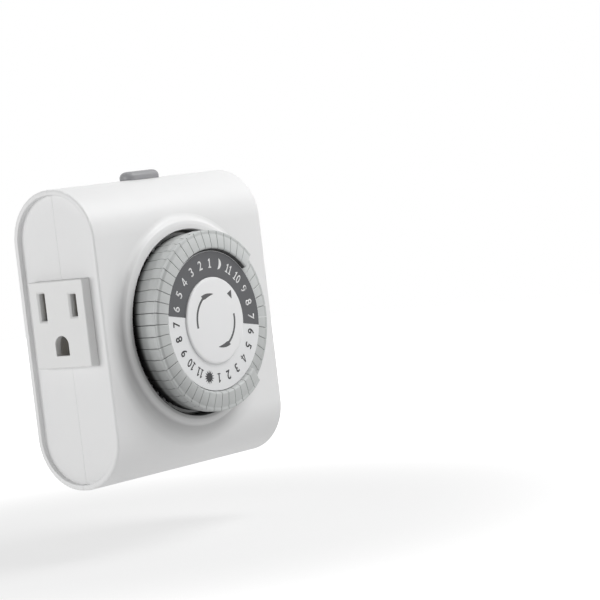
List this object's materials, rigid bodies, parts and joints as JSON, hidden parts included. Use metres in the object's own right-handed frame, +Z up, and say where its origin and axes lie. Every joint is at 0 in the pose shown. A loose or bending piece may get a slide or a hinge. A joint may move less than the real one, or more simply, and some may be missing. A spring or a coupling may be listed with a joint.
{
  "type": "plug-in timer switch",
  "caption": "Plug-in mechanical day timer switch: rounded white case, front dial ringed with push tappets, outlet on each side, grounded plug on the back.",
  "frame": {"origin": "centre of the back face that lies against the wall", "axes": "+Z up, the dial faces -Y, the plug points along +Y into the wall, +X is to the right seen from the front"},
  "size_m": [0.0816, 0.0646, 0.0936],
  "materials": {
    "case_plastic": "moulded, fine satin",
    "outlet_plastic": "moulded, satin",
    "dial_plastic": "moulded, printed day and night halves",
    "hub_plastic": "moulded, printed arrows",
    "tappet_plastic": "moulded, satin grey",
    "slide_plastic": "moulded, mid grey",
    "prong_brass": "bright drawn",
    "strip_brass": "stamped",
    "leaf_bronze": "spring bronze",
    "contact_silver": "silver alloy rivet",
    "plate_plastic": "moulded",
    "gear_plastic": "acetal",
    "lever_plastic": "moulded",
    "spring_steel": "spring steel",
    "screw_steel": "zinc plated",
    "motor_steel": "drawn can",
    "coil_copper": "enamelled copper winding",
    "rotor_ferrite": "bonded ferrite magnet",
    "lead_white": "PVC insulated wire",
    "lead_black": "PVC insulated wire"
  },
  "bodies": {
    "case": {"front_shell": "case_plastic", "rear_shell": "case_plastic", "outlet_block_left": "outlet_plastic", "outlet_block_right": "outlet_plastic", "blade_neutral": "prong_brass", "blade_hot": "prong_brass", "ground_pin": "prong_brass", "neutral_bus": "strip_brass", "switched_bus": "strip_brass", "ground_bus": "strip_brass", "feed_bar": "strip_brass", "fixed_contact": "contact_silver", "movement_plate": "plate_plastic", "plate_screws": "screw_steel", "case_screws": "screw_steel", "hub_cap": "hub_plastic", "motor_can": "motor_steel", "motor_coil": "coil_copper", "lever_pin": "screw_steel", "motor_lead_neutral": "lead_white", "motor_lead_hot": "lead_black"},
    "dial": {"dial": "dial_plastic", "dial_gear": "gear_plastic", "clutch_spring": "spring_steel"},
    "reduction": {"reduction_gear": "gear_plastic"},
    "motor_output": {"motor_pinion": "gear_plastic"},
    "rotor": {"motor_rotor": "rotor_ferrite"},
    "lever": {"follower_lever": "lever_plastic"},
    "leaf": {"switch_leaf": "leaf_bronze", "moving_contact": "contact_silver"},
    "override": {"override_slide": "slide_plastic"},
    "hour_00": {"hour_tappets_00": "tappet_plastic"},
    "hour_01": {"hour_tappets_01": "tappet_plastic"},
    "hour_02": {"hour_tappets_02": "tappet_plastic"},
    "hour_03": {"hour_tappets_03": "tappet_plastic"},
    "hour_04": {"hour_tappets_04": "tappet_plastic"},
    "hour_05": {"hour_tappets_05": "tappet_plastic"},
    "hour_06": {"hour_tappets_06": "tappet_plastic"},
    "hour_07": {"hour_tappets_07": "tappet_plastic"},
    "hour_08": {"hour_tappets_08": "tappet_plastic"},
    "hour_09": {"hour_tappets_09": "tappet_plastic"},
    "hour_10": {"hour_tappets_10": "tappet_plastic"},
    "hour_11": {"hour_tappets_11": "tappet_plastic"},
    "hour_12": {"hour_tappets_12": "tappet_plastic"},
    "hour_13": {"hour_tappets_13": "tappet_plastic"},
    "hour_14": {"hour_tappets_14": "tappet_plastic"},
    "hour_15": {"hour_tappets_15": "tappet_plastic"},
    "hour_16": {"hour_tappets_16": "tappet_plastic"},
    "hour_17": {"hour_tappets_17": "tappet_plastic"},
    "hour_18": {"hour_tappets_18": "tappet_plastic"},
    "hour_19": {"hour_tappets_19": "tappet_plastic"},
    "hour_20": {"hour_tappets_20": "tappet_plastic"},
    "hour_21": {"hour_tappets_21": "tappet_plastic"},
    "hour_22": {"hour_tappets_22": "tappet_plastic"},
    "hour_23": {"hour_tappets_23": "tappet_plastic"}
  },
  "joints": [
    {"name": "dial_turn", "type": "hinge", "parent": "case", "child": "dial", "pos_m": [0, -0.0423, 0], "axis": [0, 1, 0], "continuous": true},
    {"name": "reduction_spin", "type": "hinge", "parent": "case", "child": "reduction", "pos_m": [0.00739, -0.0252, -0.0203], "axis": [0, 1, 0], "continuous": true},
    {"name": "motor_output_spin", "type": "hinge", "parent": "case", "child": "motor_output", "pos_m": [0.01839, -0.0227, -0.02508], "axis": [0, 1, 0], "continuous": true},
    {"name": "rotor_spin", "type": "hinge", "parent": "case", "child": "rotor", "pos_m": [0.01839, -0.016, -0.02508], "axis": [0, 1, 0], "continuous": true},
    {"name": "lever_swing", "type": "hinge", "parent": "case", "child": "lever", "pos_m": [-0.01, -0.022, 0.037], "axis": [1, 0, 0], "range_deg": [0, 4.5], "stiffness_Nm_per_rad": 0.005},
    {"name": "leaf_flex", "type": "hinge", "parent": "case", "child": "leaf", "pos_m": [-0.01, -0.02225, 0.0105], "axis": [-1, 0, 0], "range_deg": [0, 7.5]},
    {"name": "override_travel", "type": "slide", "parent": "case", "child": "override", "axis": [-1, 0, 0], "range_m": [0, 0.0044]},
    {"name": "hour_00_push", "type": "slide", "parent": "dial", "child": "hour_00", "axis": [0, 1, 0], "range_m": [0, 0.0021]},
    {"name": "hour_01_push", "type": "slide", "parent": "dial", "child": "hour_01", "axis": [0, 1, 0], "range_m": [0, 0.0021]},
    {"name": "hour_02_push", "type": "slide", "parent": "dial", "child": "hour_02", "axis": [0, 1, 0], "range_m": [-0.0021, 0]},
    {"name": "hour_03_push", "type": "slide", "parent": "dial", "child": "hour_03", "axis": [0, 1, 0], "range_m": [-0.0021, 0]},
    {"name": "hour_04_push", "type": "slide", "parent": "dial", "child": "hour_04", "axis": [0, 1, 0], "range_m": [-0.0021, 0]},
    {"name": "hour_05_push", "type": "slide", "parent": "dial", "child": "hour_05", "axis": [0, 1, 0], "range_m": [-0.0021, 0]},
    {"name": "hour_06_push", "type": "slide", "parent": "dial", "child": "hour_06", "axis": [0, 1, 0], "range_m": [-0.0021, 0]},
    {"name": "hour_07_push", "type": "slide", "parent": "dial", "child": "hour_07", "axis": [0, 1, 0], "range_m": [-0.0021, 0]},
    {"name": "hour_08_push", "type": "slide", "parent": "dial", "child": "hour_08", "axis": [0, 1, 0], "range_m": [0, 0.0021]},
    {"name": "hour_09_push", "type": "slide", "parent": "dial", "child": "hour_09", "axis": [0, 1, 0], "range_m": [0, 0.0021]},
    {"name": "hour_10_push", "type": "slide", "parent": "dial", "child": "hour_10", "axis": [0, 1, 0], "range_m": [0, 0.0021]},
    {"name": "hour_11_push", "type": "slide", "parent": "dial", "child": "hour_11", "axis": [0, 1, 0], "range_m": [0, 0.0021]},
    {"name": "hour_12_push", "type": "slide", "parent": "dial", "child": "hour_12", "axis": [0, 1, 0], "range_m": [0, 0.0021]},
    {"name": "hour_13_push", "type": "slide", "parent": "dial", "child": "hour_13", "axis": [0, 1, 0], "range_m": [0, 0.0021]},
    {"name": "hour_14_push", "type": "slide", "parent": "dial", "child": "hour_14", "axis": [0, 1, 0], "range_m": [0, 0.0021]},
    {"name": "hour_15_push", "type": "slide", "parent": "dial", "child": "hour_15", "axis": [0, 1, 0], "range_m": [0, 0.0021]},
    {"name": "hour_16_push", "type": "slide", "parent": "dial", "child": "hour_16", "axis": [0, 1, 0], "range_m": [0, 0.0021]},
    {"name": "hour_17_push", "type": "slide", "parent": "dial", "child": "hour_17", "axis": [0, 1, 0], "range_m": [0, 0.0021]},
    {"name": "hour_18_push", "type": "slide", "parent": "dial", "child": "hour_18", "axis": [0, 1, 0], "range_m": [0, 0.0021]},
    {"name": "hour_19_push", "type": "slide", "parent": "dial", "child": "hour_19", "axis": [0, 1, 0], "range_m": [0, 0.0021]},
    {"name": "hour_20_push", "type": "slide", "parent": "dial", "child": "hour_20", "axis": [0, 1, 0], "range_m": [0, 0.0021]},
    {"name": "hour_21_push", "type": "slide", "parent": "dial", "child": "hour_21", "axis": [0, 1, 0], "range_m": [0, 0.0021]},
    {"name": "hour_22_push", "type": "slide", "parent": "dial", "child": "hour_22", "axis": [0, 1, 0], "range_m": [0, 0.0021]},
    {"name": "hour_23_push", "type": "slide", "parent": "dial", "child": "hour_23", "axis": [0, 1, 0], "range_m": [0, 0.0021]}
  ],
  "couplings": [
    {"joint": "reduction_spin", "follows": "dial_turn", "ratio": -5},
    {"joint": "motor_output_spin", "follows": "dial_turn", "ratio": 15},
    {"joint": "leaf_flex", "follows": "lever_swing", "ratio": 1.5238}
  ]
}
